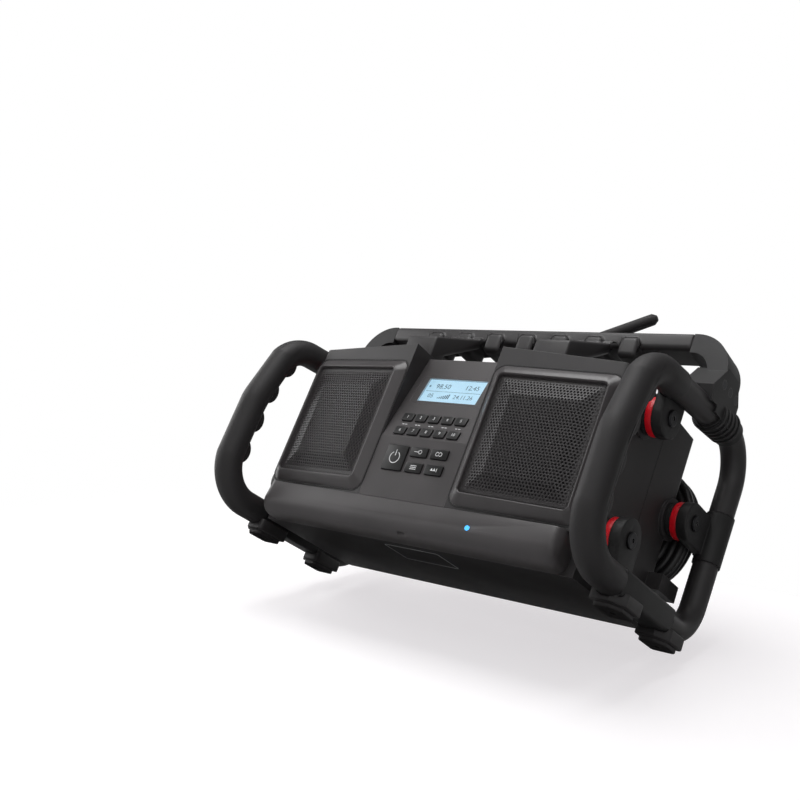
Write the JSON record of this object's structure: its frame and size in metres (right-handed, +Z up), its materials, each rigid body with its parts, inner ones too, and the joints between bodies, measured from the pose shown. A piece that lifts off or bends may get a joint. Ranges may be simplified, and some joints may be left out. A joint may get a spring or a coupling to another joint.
{
  "type": "jobsite radio",
  "caption": "Rugged jobsite radio: speaker housing on rubber mounts in a tubular side-frame cage with finger grips, ribbed top handle, sprung keys and a swinging aerial.",
  "frame": {"origin": "on the floor under the middle of the radio, which stands upright on its four feet", "axes": "+X to the right of someone who faces the speakers, +Y to the back, +Z up"},
  "size_m": [0.416, 0.2299, 0.3051],
  "materials": {
    "housing": "fine moulded texture",
    "panel": "fine moulded texture",
    "bezel": "satin moulded",
    "grille": "perforated, satin black",
    "window": "clear lens",
    "display": "backlit liquid crystal",
    "board": "circuit board",
    "key": "matt",
    "lamp": "lit blue",
    "red_ring": "satin red",
    "rubber": "matt",
    "screw": "black",
    "handle": "matt soft grip",
    "cap": "moulded",
    "aerial": "matt",
    "door": "fine moulded texture",
    "lead": "matt sheath",
    "plug": "moulded",
    "tube": "textured powder coat",
    "grip": "matt soft grip",
    "bracket": "textured powder coat",
    "basket": "black",
    "cone": "paper cone"
  },
  "bodies": {
    "radio": {"aerial_base": "housing", "aerial_pin": "screw", "cap_screws": "screw", "centre_panel": "panel", "cord_coil": "lead", "cord_gland": "rubber", "cord_lead": "lead", "cord_tail": "lead", "display_module": "display", "display_window": "window", "feet": "rubber", "front_housing": "housing", "function_board": "board", "hinge_pin": "screw", "left_frame_tube": "tube", "left_grille_bezel": "bezel", "left_grip": "grip", "left_handle_cap": "cap", "left_mount_brackets": "bracket", "left_rail": "bracket", "left_speaker_basket": "basket", "left_speaker_cone": "cone", "left_speaker_grille": "grille", "mains_plug": "plug", "mount_rings": "red_ring", "mount_rubbers": "rubber", "mount_screws": "screw", "nose_panel": "housing", "preset_board": "board", "rear_housing": "housing", "right_frame_tube": "tube", "right_grille_bezel": "bezel", "right_grip": "grip", "right_handle_cap": "cap", "right_mount_brackets": "bracket", "right_rail": "bracket", "right_speaker_basket": "basket", "right_speaker_cone": "cone", "right_speaker_grille": "grille", "status_lamp": "lamp", "top_handle": "handle"},
    "function_key_1": {"function_key_1": "key"},
    "function_key_2": {"function_key_2": "key"},
    "function_key_3": {"function_key_3": "key"},
    "function_key_4": {"function_key_4": "key"},
    "power_key": {"power_key": "key"},
    "preset_key_1": {"preset_key_1": "key"},
    "preset_key_10": {"preset_key_10": "key"},
    "preset_key_2": {"preset_key_2": "key"},
    "preset_key_3": {"preset_key_3": "key"},
    "preset_key_4": {"preset_key_4": "key"},
    "preset_key_5": {"preset_key_5": "key"},
    "preset_key_6": {"preset_key_6": "key"},
    "preset_key_7": {"preset_key_7": "key"},
    "preset_key_8": {"preset_key_8": "key"},
    "preset_key_9": {"preset_key_9": "key"},
    "aerial": {"aerial": "aerial"},
    "battery_door": {"battery_door": "door"}
  },
  "joints": [
    {"name": "function_key_1_press", "type": "slide", "parent": "radio", "child": "function_key_1", "axis": [0, 1, 0], "range_m": [0, 0.0008], "stiffness_N_per_m": 500},
    {"name": "function_key_2_press", "type": "slide", "parent": "radio", "child": "function_key_2", "axis": [0, 1, 0], "range_m": [0, 0.0008], "stiffness_N_per_m": 500},
    {"name": "function_key_3_press", "type": "slide", "parent": "radio", "child": "function_key_3", "axis": [0, 1, 0], "range_m": [0, 0.0008], "stiffness_N_per_m": 500},
    {"name": "function_key_4_press", "type": "slide", "parent": "radio", "child": "function_key_4", "axis": [0, 1, 0], "range_m": [0, 0.0008], "stiffness_N_per_m": 500},
    {"name": "power_key_press", "type": "slide", "parent": "radio", "child": "power_key", "axis": [0, 1, 0], "range_m": [0, 0.0008], "stiffness_N_per_m": 500},
    {"name": "preset_key_1_press", "type": "slide", "parent": "radio", "child": "preset_key_1", "axis": [0, 0.9715, -0.2368], "range_m": [0, 0.0008], "stiffness_N_per_m": 500},
    {"name": "preset_key_10_press", "type": "slide", "parent": "radio", "child": "preset_key_10", "axis": [0, 0.9715, -0.2368], "range_m": [0, 0.0008], "stiffness_N_per_m": 500},
    {"name": "preset_key_2_press", "type": "slide", "parent": "radio", "child": "preset_key_2", "axis": [0, 0.9715, -0.2368], "range_m": [0, 0.0008], "stiffness_N_per_m": 500},
    {"name": "preset_key_3_press", "type": "slide", "parent": "radio", "child": "preset_key_3", "axis": [0, 0.9715, -0.2368], "range_m": [0, 0.0008], "stiffness_N_per_m": 500},
    {"name": "preset_key_4_press", "type": "slide", "parent": "radio", "child": "preset_key_4", "axis": [0, 0.9715, -0.2368], "range_m": [0, 0.0008], "stiffness_N_per_m": 500},
    {"name": "preset_key_5_press", "type": "slide", "parent": "radio", "child": "preset_key_5", "axis": [0, 0.9715, -0.2368], "range_m": [0, 0.0008], "stiffness_N_per_m": 500},
    {"name": "preset_key_6_press", "type": "slide", "parent": "radio", "child": "preset_key_6", "axis": [0, 0.9715, -0.2368], "range_m": [0, 0.0008], "stiffness_N_per_m": 500},
    {"name": "preset_key_7_press", "type": "slide", "parent": "radio", "child": "preset_key_7", "axis": [0, 0.9715, -0.2368], "range_m": [0, 0.0008], "stiffness_N_per_m": 500},
    {"name": "preset_key_8_press", "type": "slide", "parent": "radio", "child": "preset_key_8", "axis": [0, 0.9715, -0.2368], "range_m": [0, 0.0008], "stiffness_N_per_m": 500},
    {"name": "preset_key_9_press", "type": "slide", "parent": "radio", "child": "preset_key_9", "axis": [0, 0.9715, -0.2368], "range_m": [0, 0.0008], "stiffness_N_per_m": 500},
    {"name": "aerial_swing", "type": "hinge", "parent": "radio", "child": "aerial", "pos_m": [-0.1, 0.057, 0.214], "axis": [0, -1, 0], "range_deg": [-20, 75]},
    {"name": "door_hinge", "type": "hinge", "parent": "radio", "child": "battery_door", "pos_m": [-0.062, 0.0743, 0.0496], "axis": [-1, 0, 0], "range_deg": [0, 95]}
  ]
}
